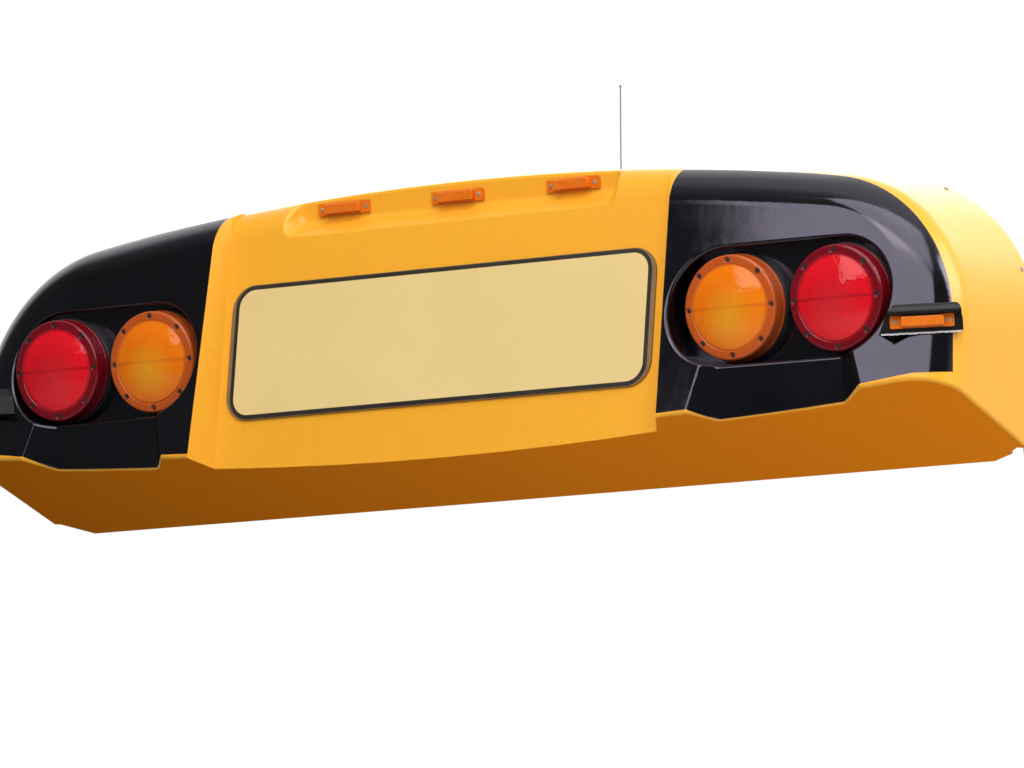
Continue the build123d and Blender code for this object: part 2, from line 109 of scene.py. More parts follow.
class Shader:
    """A Principled material with a few helpers for procedural detail in object coordinates."""

    def __init__(self, name, color, roughness):
        self.material = bpy.data.materials.new(name)
        self.material.use_nodes = True
        self.tree = self.material.node_tree
        self.bsdf = self.tree.nodes["Principled BSDF"]
        self.bsdf.inputs["Base Color"].default_value = (*color, 1)
        self.bsdf.inputs["Roughness"].default_value = roughness
        self.coords = self.node("ShaderNodeTexCoord").outputs["Object"]

    def node(self, kind, **settings):
        made = self.tree.nodes.new(kind)
        for key, value in settings.items():
            setattr(made, key, value)
        return made

    def link(self, source, target):
        self.tree.links.new(source, target)

    def noise(self, scale, detail=3, stretch=(1, 1, 1)):
        mapping = self.node("ShaderNodeMapping")
        mapping.inputs["Scale"].default_value = stretch
        noise = self.node("ShaderNodeTexNoise")
        noise.inputs["Scale"].default_value = scale
        noise.inputs["Detail"].default_value = detail
        self.link(self.coords, mapping.inputs["Vector"])
        self.link(mapping.outputs["Vector"], noise.inputs["Vector"])
        return noise.outputs["Fac"]

    def axis(self, index):
        split = self.node("ShaderNodeSeparateXYZ")
        self.link(self.coords, split.inputs["Vector"])
        return split.outputs[index]

    def ramp(self, source, low, high, out_low=0.0, out_high=1.0):
        ramp = self.node("ShaderNodeMapRange", clamp=True)
        for key, value in (("From Min", low), ("From Max", high), ("To Min", out_low), ("To Max", out_high)):
            ramp.inputs[key].default_value = value
        self.link(source, ramp.inputs["Value"])
        return ramp.outputs["Result"]

    def off_axis(self, x, z):
        """Distance from the upright-plane point (x, z), the same on both sides."""
        across = self.math("SUBTRACT", self.math("ABSOLUTE", self.axis(0)), x)
        above = self.math("SUBTRACT", self.axis(2), z)
        squares = self.math("ADD", self.math("POWER", across, 2.0), self.math("POWER", above, 2.0))
        return self.math("SQRT", squares)

    def math(self, operation, first, second=0.0):
        made = self.node("ShaderNodeMath", operation=operation)
        for socket, value in zip(made.inputs, (first, second)):
            if isinstance(value, (int, float)):
                socket.default_value = value
            else:
                self.link(value, socket)
        return made.outputs["Value"]

    def mix(self, factor, first, second):
        made = self.node("ShaderNodeMix", data_type="RGBA")
        self.link(factor, made.inputs["Factor"])
        for socket, value in ((made.inputs[6], first), (made.inputs[7], second)):
            if isinstance(value, tuple):
                socket.default_value = (*value, 1)
            else:
                self.link(value, socket)
        return made.outputs[2]

    def mottle(self, scale, detail, low, high, first, second):
        """Two colours in cloudy patches."""
        return self.mix(self.ramp(self.noise(scale, detail), low, high), first, second)

    def color(self, source):
        self.link(source, self.bsdf.inputs["Base Color"])

    def roughness(self, source):
        self.link(source, self.bsdf.inputs["Roughness"])

    def bump(self, height, strength, distance):
        bump = self.node("ShaderNodeBump")
        bump.inputs["Strength"].default_value = strength
        bump.inputs["Distance"].default_value = distance
        self.link(height, bump.inputs["Height"])
        self.link(bump.outputs["Normal"], self.bsdf.inputs["Normal"])

    def set(self, **sockets):
        for key, value in sockets.items():
            self.bsdf.inputs[key.replace("_", " ")].default_value = value


def yellow_gelcoat(name, color, deep, worn, shine):
    """Yellow with faint mottling and upright rain streaks; shine is the strength of its gloss."""
    shader = Shader(name, color, 0.3)
    base = shader.mottle(2.2, 4, 0.2, 0.8, color, deep)
    streaks = shader.ramp(shader.noise(60, 3, (1, 1, 0.04)), 0.45, 0.95, 0.0, 0.3)
    shader.color(shader.mix(streaks, base, worn))
    shader.roughness(shader.ramp(shader.noise(9, 3), 0.1, 0.9, 0.22, 0.36))
    shader.bump(shader.noise(70, 2), 0.05, 0.001)
    shader.set(Specular_IOR_Level=shine)
    return shader.material


def black_gelcoat():
    """Deep gloss black: slight orange peel, upright polish marks, a few dull patches."""
    shader = Shader("black_gelcoat", (0.0015, 0.0015, 0.002), 0.1)
    shader.color(shader.mottle(5, 4, 0.4, 0.7, (0.0015, 0.0015, 0.002), (0.004, 0.004, 0.005)))
    dull = shader.ramp(shader.noise(7, 6), 0.45, 0.75, 0.06, 0.2)
    marks = shader.ramp(shader.noise(90, 3, (1, 1, 0.08)), 0.5, 0.8, 0.0, 0.05)
    shader.roughness(shader.math("ADD", dull, marks))
    shader.bump(shader.noise(45, 2), 0.06, 0.001)
    # The violet tint of its gloss is a painted reflection colour of the sky that it mirrors
    shader.set(Specular_IOR_Level=0.7, Specular_Tint=(0.86, 0.78, 1.0, 1))
    return shader.material


def raw_laminate():
    """Inside of the moulding: rough glass-fibre mat in brownish resin."""
    shader = Shader("raw_laminate", (0.5, 0.3, 0.09), 0.6)
    lengthwise, crosswise = (shader.noise(260, 2, stretch) for stretch in ((1, 0.12, 0.3), (0.12, 1, 1)))
    strands = shader.math("ADD", lengthwise, crosswise)
    fibre = shader.ramp(strands, 0.9, 1.15)
    resin = shader.mottle(11, 4, 0.35, 0.7, (0.46, 0.26, 0.07), (0.36, 0.19, 0.05))
    shader.color(shader.mix(fibre, resin, (0.60, 0.42, 0.17)))
    shader.roughness(shader.ramp(shader.noise(40, 4), 0.3, 0.7, 0.4, 0.7))
    shader.bump(strands, 0.5, 0.0012)
    return shader.material


def plastic(name, color, deep, roughness, grain, shine=0.5):
    """Moulded plastic, rubber or painted metal: soft mottling over a fine grain."""
    shader = Shader(name, color, roughness)
    shader.set(Specular_IOR_Level=shine)
    shader.color(shader.mottle(14, 4, 0.35, 0.7, color, deep))
    shader.roughness(shader.ramp(shader.noise(25, 4), 0.3, 0.7, roughness * 0.85, roughness * 1.15))
    shader.bump(shader.noise(900, 2), grain, 0.0004)
    return shader.material


def sign_film(name, color, deep, roughness):
    """Adhesive film: fine scuffs, slight fading and ripples."""
    shader = Shader(name, color, roughness)
    faded = shader.mottle(4, 5, 0.35, 0.7, color, deep)
    scuffs = shader.ramp(shader.noise(220, 3, (0.1, 1, 1)), 0.68, 0.8, 0.0, 0.5)
    shader.color(shader.mix(scuffs, faded, tuple(0.8 * part for part in deep)))
    shader.roughness(shader.ramp(shader.noise(30, 4), 0.3, 0.7, roughness * 0.8, roughness * 1.2))
    shader.bump(shader.noise(12, 3), 0.08, 0.002)
    return shader.material


def tinted(name, x, color, deep, spot, rim, share):
    """Tinted plastic of a warning lens: share passes through, the rest is thrown back by the cloudy plastic.

    It is palest at a painted highlight below the centre and darkest at the rim in painted shade, and shows
    flutes and a bar as painted shade stripes.
    """
    shader = Shader(name, color, 0.05)

    def fade(source, limits, full=1.0):
        return shader.ramp(source, limits[0] * MM, limits[1] * MM, 0.0, full)

    cloudy = shader.mottle(20, 3, 0.35, 0.7, color, deep)
    # Painted highlight, palest at a spot below the centre
    highlight_radius = shader.off_axis(x * MM, (LAMP_Z - HIGHLIGHT_DROP) * MM)
    face = shader.mix(fade(highlight_radius, HIGHLIGHT_RADII), cloudy, spot)
    radius = shader.off_axis(x * MM, LAMP_Z * MM)
    # Painted shade stripes for the flutes and the bar of the glass behind
    waves = shader.math("SINE", shader.math("MULTIPLY", shader.axis(0), 2 * math.pi / (FLUTE_PITCH * MM)))
    flutes = shader.math("MULTIPLY", shader.ramp(waves, -1, 1), fade(radius, FLUTE_SHADE_RADII, FLUTE_SHADE))
    height = shader.math("ABSOLUTE", shader.math("SUBTRACT", shader.axis(2), LAMP_Z * MM))
    bar = fade(height, BAR_SHADE_HEIGHTS, FLUTE_SHADE)
    face = shader.mix(shader.math("MAXIMUM", flutes, bar), face, rim)
    # Painted shade towards the rim
    shader.color(shader.mix(fade(radius, RIM_SHADE_RADII), face, rim))
    shader.roughness(shader.ramp(shader.noise(60, 5), 0.35, 0.75, 0.03, 0.1))
    shader.bump(shader.noise(34, 3), 0.6, 0.002)
    shader.set(Transmission_Weight=share, IOR=1.49, Specular_IOR_Level=0.3)
    return shader.material


# Radians of the rib pattern for each metre across a small lens
SMALL_RIB_WAVES = 2200.0


def ribbed_amber():
    """Small lamp lens: amber with upright ribs moulded on its inside."""
    shader = Shader("ribbed_amber_lens", (0.95, 0.25, 0.014), 0.1)
    ribs = shader.math("SINE", shader.math("MULTIPLY", shader.axis(0), SMALL_RIB_WAVES))
    cloudy = shader.mottle(60, 3, 0.35, 0.7, (1.0, 0.26, 0.014), (0.90, 0.19, 0.008))
    shader.color(shader.mix(shader.ramp(ribs, -1, 1, 0.0, 0.6), cloudy, (0.74, 0.12, 0.006)))
    shader.roughness(shader.ramp(shader.noise(60, 4), 0.3, 0.7, 0.07, 0.16))
    shader.bump(ribs, 0.2, 0.0004)
    shader.set(Transmission_Weight=0.15, IOR=1.49)
    return shader.material


def mirror():
    """Silvered bowl, slightly wavy and hazed."""
    shader = Shader("silvered_bowl", (0.95, 0.95, 0.93), 0.2)
    shader.color(shader.mottle(50, 3, 0.4, 0.7, (0.96, 0.96, 0.94), (0.90, 0.90, 0.89)))
    shader.roughness(shader.ramp(shader.noise(30, 4), 0.3, 0.7, 0.14, 0.26))
    shader.bump(shader.noise(60, 2), 0.08, 0.001)
    shader.set(Metallic=1.0)
    return shader.material


def glass():
    """Front glass of a sealed beam, frosted a little on its inside."""
    shader = Shader("beam_glass", (0.97, 0.97, 0.95), 0.03)
    shader.color(shader.mottle(30, 3, 0.4, 0.7, (1.0, 1.0, 0.99), (0.94, 0.95, 0.93)))
    shader.roughness(shader.ramp(shader.noise(45, 4), 0.3, 0.7, 0.02, 0.1))
    shader.set(Transmission_Weight=0.97, IOR=1.5)
    return shader.material


yellow = yellow_gelcoat("yellow_gelcoat", (0.91, 0.42, 0.027), (0.88, 0.39, 0.023), (0.80, 0.35, 0.03), 0.35)
# Underside: a deeper, darker orange as painted shade, and no gloss
dull_shaded_yellow = yellow_gelcoat("yellow_underside_painted_shade", (0.92, 0.275, 0.012), (0.88, 0.25, 0.010),
                             (0.78, 0.22, 0.016), 0.0)
black = black_gelcoat()
laminate = raw_laminate()
satin_black = plastic("satin_black_plastic", (0.012, 0.012, 0.013), (0.022, 0.022, 0.024), 0.38, 0.15)
rubber = plastic("black_rubber", (0.02, 0.02, 0.02), (0.035, 0.034, 0.033), 0.7, 0.3)
gloss_black = plastic("gloss_black_plastic", (0.005, 0.004, 0.004), (0.009, 0.007, 0.007), 0.3, 0.05, 0.3)
sealant = plastic("pale_sealant", (0.90, 0.87, 0.88), (0.78, 0.74, 0.72), 0.5, 0.3)
pale_film = sign_film("sign_pale_film", (0.80, 0.60, 0.26), (0.76, 0.56, 0.23), 0.4)
black_film = sign_film("sign_black_film", (0.012, 0.009, 0.007), (0.022, 0.016, 0.011), 0.4)
brown_edge = plastic("sign_edge", (0.20, 0.11, 0.045), (0.27, 0.16, 0.06), 0.45, 0.1)
# Each lens: its tint, a deeper tint, the colour of its painted highlight, the colour of its painted rim
# shade, and the share that passes through
amber = tinted("amber_lens", LAMP_XS["amber"], (1.0, 0.25, 0.005), (1.0, 0.21, 0.003), (1.0, 0.46, 0.012),
               (0.60, 0.11, 0.018), 0.2)
red = tinted("red_lens", LAMP_XS["red"], (1.0, 0.012, 0.028), (0.95, 0.009, 0.022), (1.0, 0.035, 0.05),
             (0.26, 0.006, 0.016), 0.36)
small_amber = ribbed_amber()
silver = mirror()
clear_glass = glass()
steel = plastic("dark_steel", (0.16, 0.16, 0.17), (0.10, 0.10, 0.11), 0.35, 0.1)
blackened = plastic("blackened_steel", (0.016, 0.012, 0.011), (0.03, 0.022, 0.02), 0.4, 0.1)
zinc = plastic("zinc_screw", (0.42, 0.38, 0.30), (0.30, 0.26, 0.20), 0.4, 0.1)


def paint(node, *materials):
    """Give a node of the solids its materials, which its faces pick from by index."""
    slots = nodes[node].data.materials
    slots.clear()
    for material in materials:
        slots.append(material)


paint("cap_shell", yellow, laminate, dull_shaded_yellow)
for side in SIDES:
    paint(f"lamp_pod_{side}", black, laminate)
    for colour in LAMP_XS:
        paint(f"{colour}_housing_{side}", satin_black)
        paint(f"{colour}_boot_{side}", rubber)
    paint(f"clearance_hood_{side}", gloss_black)
    paint(f"clearance_lens_{side}", small_amber)
for place in PLACES:
    paint(f"identification_base_{place}", satin_black)
    paint(f"identification_lens_{place}", small_amber)
paint("sign_plate", brown_edge)
paint("sign_border", black_film)
paint("sign_face", pale_film)
paint("aerial_base", rubber)
paint("aerial_whip", steel)


# The mouldings' inside is unpainted, and the shell's underside is duller and a deeper orange, which is
# painted shade

MOULDINGS = ("cap_shell", "lamp_pod_left", "lamp_pod_right")
PAINTED, INSIDE, UNDERSIDE = range(3)
FORWARDS = Vector((0, -1.5, 0))
SURFACE_GAP = 0.0002
UNDERSIDE_NORMAL_Z = -0.8
HOLE_PLUG = 90
POCKET_FLOOR_Y = LAMP_Y + 49


def moulding_tree(plugged):
    """Search tree over the shell and both pods, with the lamp holes plugged by squares or left open."""
    verts, faces = [], []
    for name in MOULDINGS:
        mesh = nodes[name].data
        first = len(verts)
        verts.extend(vertex.co.copy() for vertex in mesh.vertices)
        faces.extend([first + index for index in face.vertices] for face in mesh.polygons)
    if plugged:
        for sign in SIDES.values():
            for x in LAMP_XS.values():
                first = len(verts)
                for across, up in ((-1, -1), (1, -1), (1, 1), (-1, 1)):
                    corner = (sign * x + across * HOLE_PLUG, POCKET_FLOOR_Y, LAMP_Z + up * HOLE_PLUG)
                    verts.append(Vector(corner) * MM)
                faces.append([first, first + 1, first + 2, first + 3])
    return BVHTree.FromPolygons(verts, faces)


def mark_inside(tree):
    """A face is inside where a line that leaves it and bends forwards meets the moulding again."""
    for name in MOULDINGS:
        for face in nodes[name].data.polygons:
            start = face.center + face.normal * SURFACE_GAP
            hit = tree.ray_cast(start, (face.normal + FORWARDS).normalized())
            if hit[0] is not None:
                face.material_index = INSIDE
            elif name == "cap_shell" and face.normal.z < UNDERSIDE_NORMAL_Z:
                face.material_index = UNDERSIDE
            else:
                face.material_index = PAINTED


skin = moulding_tree(False)
mark_inside(moulding_tree(True))


# Making pieces

def make_piece(name, verts, faces, material, slot, replaced=(), sharp=35):
    """A piece of the object from points in millimetres and faces."""
    mesh = bpy.data.meshes.new(name)
    mesh.from_pydata([[MM * part for part in vert] for vert in verts], [], faces)
    shape = bmesh.new()
    shape.from_mesh(mesh)
    bmesh.ops.recalc_face_normals(shape, faces=shape.faces)
    shape.to_mesh(mesh)
    shape.free()
    mesh.shade_smooth()
    mesh.set_sharp_from_angle(angle=math.radians(sharp))
    mesh.materials.append(material)
    piece = bpy.data.objects.new(name, mesh)
    scene.collection.objects.link(piece)
    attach(piece, "root")
    if replaced:
        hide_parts(*replaced)
    return piece


def turned(profile, segments, bend=None):
    """Closed surface turned about the Y axis. The profile runs from axis to axis as radius and depth."""
    verts, faces, rings = [], [], []
    for radius, depth in profile:
        count = segments if radius else 1
        ring = []
        for index in range(count):
            angle = 2 * math.pi * index / segments
            r, y = bend(radius, depth, angle) if bend and radius else (radius, depth)
            ring.append(len(verts))
            verts.append(Vector((r * math.sin(angle), y, r * math.cos(angle))))
        rings.append(ring)
    for near, far in zip(rings, rings[1:]):
        for index in range(segments):
            after = (index + 1) % segments
            if len(near) == 1:
                faces.append((near[0], far[after], far[index]))
            elif len(far) == 1:
                faces.append((near[index], near[after], far[0]))
            else:
                faces.append((near[index], near[after], far[after], far[index]))
    return verts, faces


def dome(start, end, rows):
    """Points of an arc centred on the axis, between two points given as radius and depth."""
    (start_r, start_y), (end_r, end_y) = start, end
    centre = (end_r**2 + end_y**2 - start_r**2 - start_y**2) / (2 * (end_y - start_y))
    radius = math.hypot(start_r, start_y - centre)
    facing = math.copysign(1, start_y + end_y - 2 * centre)
    points = []
    for row in range(rows + 1):
        r = start_r + (end_r - start_r) * row / rows
        points.append((r, centre + facing * math.sqrt(radius**2 - r**2)))
    return points


def rounding(centre, radius, start, end, rows):
    """Points of an arc; 0 degrees points outwards and 90 degrees forwards."""
    angles = [math.radians(start + (end - start) * row / rows) for row in range(rows + 1)]
    return [(centre[0] + radius * math.cos(angle), centre[1] - radius * math.sin(angle)) for angle in angles]


def steps(start, end, rows):
    """Points along a straight line."""
    return [
        (start[0] + (end[0] - start[0]) * row / rows, start[1] + (end[1] - start[1]) * row / rows)
        for row in range(rows + 1)
    ]


def placed(shape, at, turn=None):
    """The shape's points moved to a place, turned first if a turn is given."""
    verts, faces = shape
    return [(turn @ vert if turn else vert) + Vector(at) for vert in verts], faces


def joined(shapes):
    """Several shapes as one."""
    verts, faces = [], []
    for more_verts, more_faces in shapes:
        first = len(verts)
        verts.extend(more_verts)
        faces.extend(tuple(first + index for index in face) for face in more_faces)
    return verts, faces


# Warning lamps, in millimetres; depth runs back from the front of the lens flange

LENS_SEGMENTS = 384
LENS_RIBS = 96
RIB_DEPTH = 0.55
SKIRT_R = 86.5
SKIRT_YS = (6, 25)
RIB_FADE = 2
FLANGE_R = 72.5
DIMPLE_R = 5.6
DIMPLE_DEPTH = 2.4
DIMPLE_WALL = 2.2


def lens_profile():
    """From the dome's middle over its groove, flange and skirt, then back along the inside."""
    outer = dome((0, -11), (69.5, -0.7), 20)
    outer += [(70, 0.1), (70.6, 0.9), (71.4, 1), (72.2, 0.3)]
    outer += steps((73, 0), (82, 0), 10)
    outer += rounding((82.2, 4.8), 4.8, 75, 10, 5)
    outer += steps((87.1, 6), (87.9, 25), 10)
    outer += [(88.2, 25.6), (88.8, 26), (89, 26.6), (89, 31.3), (88.6, 31.9)]
    inner = [(85.4, 31.9), (85, 31), (84.6, 8), (84, 5.2), (82, 3.6), (76, 3.4), (71.5, 3.2)]
    inner += dome((70, 2.6), (0, -8.2), 20)
    return outer + inner


def lens_bend(radius, depth, angle):
    """Ribs on the skirt, and a dimple in the flange at each screw."""
    skirt_front, skirt_back = SKIRT_YS
    if radius > SKIRT_R and skirt_front < depth < skirt_back:
        fade = min(1, (depth - skirt_front) / RIB_FADE, (skirt_back - depth) / RIB_FADE)
        radius -= RIB_DEPTH * fade * (0.5 - 0.5 * math.cos(LENS_RIBS * angle))
    pitch = 2 * math.pi / SCREW_COUNT
    offset = (angle + pitch / 2) % pitch - pitch / 2
    if radius > FLANGE_R and depth < 3:
        gap = math.hypot(radius * math.cos(offset) - SCREW_CIRCLE_R, radius * math.sin(offset))
        if gap < DIMPLE_R:
            depth += DIMPLE_DEPTH * min(1, DIMPLE_WALL * (1 - gap / DIMPLE_R))
    return radius, depth


def screw_shape(head_r, height, segments=24):
    """Pan head with a crossed recess, standing to -Y from depth 0."""
    recess_r = 0.62 * head_r
    slot_half = 0.17 * head_r
    profile = dome((0, -height), (0.8 * head_r, -0.8 * height), 6)
    profile += [(0.95 * head_r, -0.5 * height), (head_r, -0.1 * height), (head_r, 0.3), (0, 0.3)]

    def bend(radius, depth, angle):
        x, z = radius * math.sin(angle), radius * math.cos(angle)
        if radius < recess_r and min(abs(x), abs(z)) < slot_half and depth < 0:
            depth += 0.6 * height
        return radius, depth

    return turned(profile, segments, bend)


def cup_shape():
    """Dark cup round one lens screw, whose black is partly painted shade of the screw hole."""
    profile = [(0, 2.7), (3.9, 2.7), (4.1, 0.9), (4.4, 0.4), (4.9, 0.5), (5.2, 1.2), (5.2, 3.2), (0, 3.2)]
    return turned(profile, 24)


GLASS_R = 70
GLASS_FRONT_Y = 10
GLASS_BACK_Y = 14
GLASS_SAG = 14
FLUTE_DEPTH = 0.55
GLASS_COLUMNS = 300
GLASS_ROWS = 22
# Radius and depth of each ring round the edge of the glass
GLASS_RIM = ((72.5, 25), (78, 26), (79, 27), (79, 31), (78, 32), (72, 31))


def glass_depth(x, z, front):
    """Domed glass of a sealed beam, with upright flutes over its front."""
    span = min(1, math.hypot(x, z) / GLASS_R)
    depth = (GLASS_FRONT_Y if front else GLASS_BACK_Y) + GLASS_SAG * span**2
    if front:
        fade = max(0, min(1, (0.97 - span) * 12))
        wide = 0.5 + 0.5 * math.cos(2 * math.pi * x / FLUTE_PITCH)
        depth += FLUTE_DEPTH * fade * wide
    return depth


def glass_shape():
    """Front glass: two domed faces laid out in columns, joined by the rim."""
    verts, faces = [], []

    def add(x, y, z):
        verts.append(Vector((x, y, z)))
        return len(verts) - 1

    def sheet(front):
        columns = []
        for column in range(1, GLASS_COLUMNS):
            angle = math.pi * column / GLASS_COLUMNS
            x, half = -GLASS_R * math.cos(angle), GLASS_R * math.sin(angle)
            zs = [half * (2 * row / GLASS_ROWS - 1) for row in range(GLASS_ROWS + 1)]
            columns.append([add(x, glass_depth(x, z, front), z) for z in zs])
        ends = [add(end * GLASS_R, glass_depth(GLASS_R, 0, front), 0) for end in (-1, 1)]
        for near, far in zip(columns, columns[1:]):
            for row in range(GLASS_ROWS):
                faces.append((near[row], near[row + 1], far[row + 1], far[row]))
        for end, column in ((ends[0], columns[0]), (ends[1], columns[-1])):
            for row in range(GLASS_ROWS):
                faces.append((end, column[row], column[row + 1]))
        low = [column[0] for column in columns]
        high = [column[-1] for column in columns]
        return [ends[0], *low, ends[1], *reversed(high)]

    first, last = sheet(True), sheet(False)
    loops = [first]
    for radius, depth in GLASS_RIM:
        outline = [verts[index] for index in first]
        loops.append([add(v.x * radius / GLASS_R, depth, v.z * radius / GLASS_R) for v in outline])
    loops.append(last)
    for near, far in zip(loops, loops[1:]):
        for index in range(len(near)):
            after = (index + 1) % len(near)
            faces.append((near[index], near[after], far[after], far[index]))
    return verts, faces


def bowl_shape():
    """Silvered bowl behind the glass, with its back and the cap over its terminals."""
    inside = [(69.5 * step / 14, 84 - 51 * (step / 14) ** 2) for step in range(15)]
    flange = [(71, 32.5), (76, 32.5), (76, 34.5), (72, 36)]
    back = [(66, 47), (54, 62), (40, 74), (26, 82), (24, 89), (0, 89)]
    return turned(inside + flange + back, 96)


def tube(points, radius, sides=8):
    """Round wire along points, closed at both ends."""
    verts, faces = [], []
    for index, point in enumerate(points):
        before, after = points[max(0, index - 1)], points[min(len(points) - 1, index + 1)]
        along = (after - before).normalized()
        across = along.cross(Vector((0.31, 0.17, 0.93))).normalized()
        other = along.cross(across)
        for side in range(sides):
            angle = 2 * math.pi * side / sides
            verts.append(point + radius * (across * math.cos(angle) + other * math.sin(angle)))
    for ring in range(len(points) - 1):
        for side in range(sides):
            after = (side + 1) % sides
            near, far = ring * sides, (ring + 1) * sides
            faces.append((near + side, near + after, far + after, far + side))
    faces.append(tuple(range(sides)))
    faces.append(tuple(len(verts) - 1 - side for side in range(sides)))
    return verts, faces


COIL_HALF = 7
COIL_R = 1.1
COIL_Y = 58
COIL_TURNS = 6
COIL_STEPS = 72


def filament_shape():
    """Two posts with a small coil between them."""
    coil = []
    for step in range(COIL_STEPS + 1):
        angle = 2 * math.pi * COIL_TURNS * step / COIL_STEPS
        x = COIL_HALF * (2 * step / COIL_STEPS - 1)
        coil.append(Vector((x, COIL_Y + COIL_R * math.cos(angle), COIL_R * math.sin(angle))))
    shapes = [tube(coil, 0.35, 6)]
    for end in (-1, 1):
        post = [(end * COIL_HALF, COIL_Y, 0), (end * 8, 66, 0), (end * 8, 83, 0)]
        shapes.append(tube([Vector(point) for point in post], 0.9))
    return joined(shapes)


LENS_SCREW = (3.3, 1.6)
SCREW_SINK = Vector((0, 2.8, 0))


def make_warning_lamps():
    """Lens cover, beam glass, bowl, filament, screws and screw cups of all four lamps."""
    lens = turned(lens_profile(), LENS_SEGMENTS, lens_bend)
    front_glass = glass_shape()
    bowl = bowl_shape()
    filament = filament_shape()
    spots = []
    for index in range(SCREW_COUNT):
        angle = 2 * math.pi * index / SCREW_COUNT
        spots.append(Vector((SCREW_CIRCLE_R * math.sin(angle), 0, SCREW_CIRCLE_R * math.cos(angle))))
    screws = joined([placed(screw_shape(*LENS_SCREW), spot + SCREW_SINK) for spot in spots])
    cups = joined([placed(cup_shape(), spot) for spot in spots])
    tints = {"amber": amber, "red": red}
    for side, sign in SIDES.items():
        for colour, x in LAMP_XS.items():
            at = (sign * x, LAMP_Y, LAMP_Z)
            tag = f"{colour}_{side}"
            make_piece(f"lens_cover_{tag}", *placed(lens, at), tints[colour], f"{colour}_lens",
                       (f"{colour}_lens_{side}",))
            make_piece(f"beam_glass_{tag}", *placed(front_glass, at), clear_glass, "beam_glass",
                       (f"{colour}_beam_{side}",))
            make_piece(f"beam_bowl_{tag}", *placed(bowl, at), silver, "beam_glass")
            make_piece(f"filament_{tag}", *placed(filament, at), steel, "steel_whip")
            make_piece(f"lens_screws_{tag}", *placed(screws, at), blackened, "steel_whip")
            # Black cups round the screws, partly painted shade in the screw holes
            make_piece(f"lens_screw_cups_{tag}", *placed(cups, at), gloss_black, "black_plastic")


make_warning_lamps()


# Small lamps: screws in the lens flanges, and the sealant under each hood

def hood_turn(sign):
    return Matrix.Rotation(math.radians(sign * HOOD_TURN), 3, "Z")


BAR_SCREW = (3.6, 2)
BAR_FLANGE_Y = -3


def make_bar_screws():
    """Two screws in the flange of each identification and clearance lens."""
    pair = [Vector((end * BAR_SCREW_X, BAR_FLANGE_Y, 0)) for end in (-1, 1)]
    shape = joined([placed(screw_shape(*BAR_SCREW), spot) for spot in pair])
    for place in PLACES:
        low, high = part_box(f"identification_lens_{place}")
        middle = (low + high) / (2 * MM)
        at = (middle.x, high.y / MM, middle.z)
        make_piece(f"marker_screws_{place}", *placed(shape, at), zinc, "steel_whip")
    for side, sign in SIDES.items():
        at = (sign * HOOD_AT[0], *HOOD_AT[1:])
        make_piece(f"clearance_screws_{side}", *placed(shape, at, hood_turn(sign)), zinc, "steel_whip")


BEAD_R = 1.9
BEAD_XS = (-67, 64)
BEAD_FRONT_Y = 3
BEAD_Z = -18.4
BEAD_STEPS = 40


def make_hood_beads():
    """Slightly wavy line of sealant where the foot of each hood meets the moulding."""
    for side, sign in SIDES.items():
        turn = hood_turn(sign)
        at = Vector((sign * HOOD_AT[0], *HOOD_AT[1:]))
        points = []
        for step in range(BEAD_STEPS + 1):
            x = sign * (BEAD_XS[0] + (BEAD_XS[1] - BEAD_XS[0]) * step / BEAD_STEPS)
            wave = 0.35 * math.sin(2.1 * step) + 0.25 * math.sin(0.7 * step)
            points.append(turn @ Vector((x, BEAD_FRONT_Y, BEAD_Z + wave)) + at)
        make_piece(f"hood_sealant_{side}", *tube(points, BEAD_R, 10), sealant, "sign_pale")


make_bar_screws()
make_hood_beads()


# Fixing screws along the rear edge of the roof and down the sides

ROOF_SCREW_PITCH = 165
ROOF_SCREW_COUNT = 11
ROOF_SCREW_Y = -18
SIDE_SCREW_ZS = (-90, 20, 130)
ABOVE_ROOF_Z = 600
BESIDE_CAP_X = 1200
EDGE_SCREW = (4.6, 2.4)


def make_edge_screws():
    """Pan-head screws through the rear edge, each square to the surface under it."""
    places = []
    for index in range(ROOF_SCREW_COUNT):
        x = ROOF_SCREW_PITCH * (index - (ROOF_SCREW_COUNT - 1) / 2)
        places.append((Vector((x, ROOF_SCREW_Y, ABOVE_ROOF_Z)), Vector((0, 0, -1))))
    for sign in SIDES.values():
        for z in SIDE_SCREW_ZS:
            places.append((Vector((sign * BESIDE_CAP_X, ROOF_SCREW_Y, z)), Vector((-sign, 0, 0))))
    shapes = []
    for start, along in places:
        spot, normal, _, _ = skin.ray_cast(start * MM, along)
        turn = Vector((0, -1, 0)).rotation_difference(normal).to_matrix()
        shapes.append(placed(screw_shape(*EDGE_SCREW), spot / MM, turn))
    make_piece("edge_screws", *joined(shapes), zinc, "steel_whip")


make_edge_screws()


# Floor, background and lights

FLOOR_HALF = 40
FLOOR_SEEN = (0.64, 0.61)
FLOOR_THROWN = (0.12, 0.60)
THROWN_XS = (-1.5, 2.5)
FLOOR_IN_GLOSS = 0.5
FLOOR_FADE = (1.6, 7.0)


def grey(level):
    return (level, level, level)


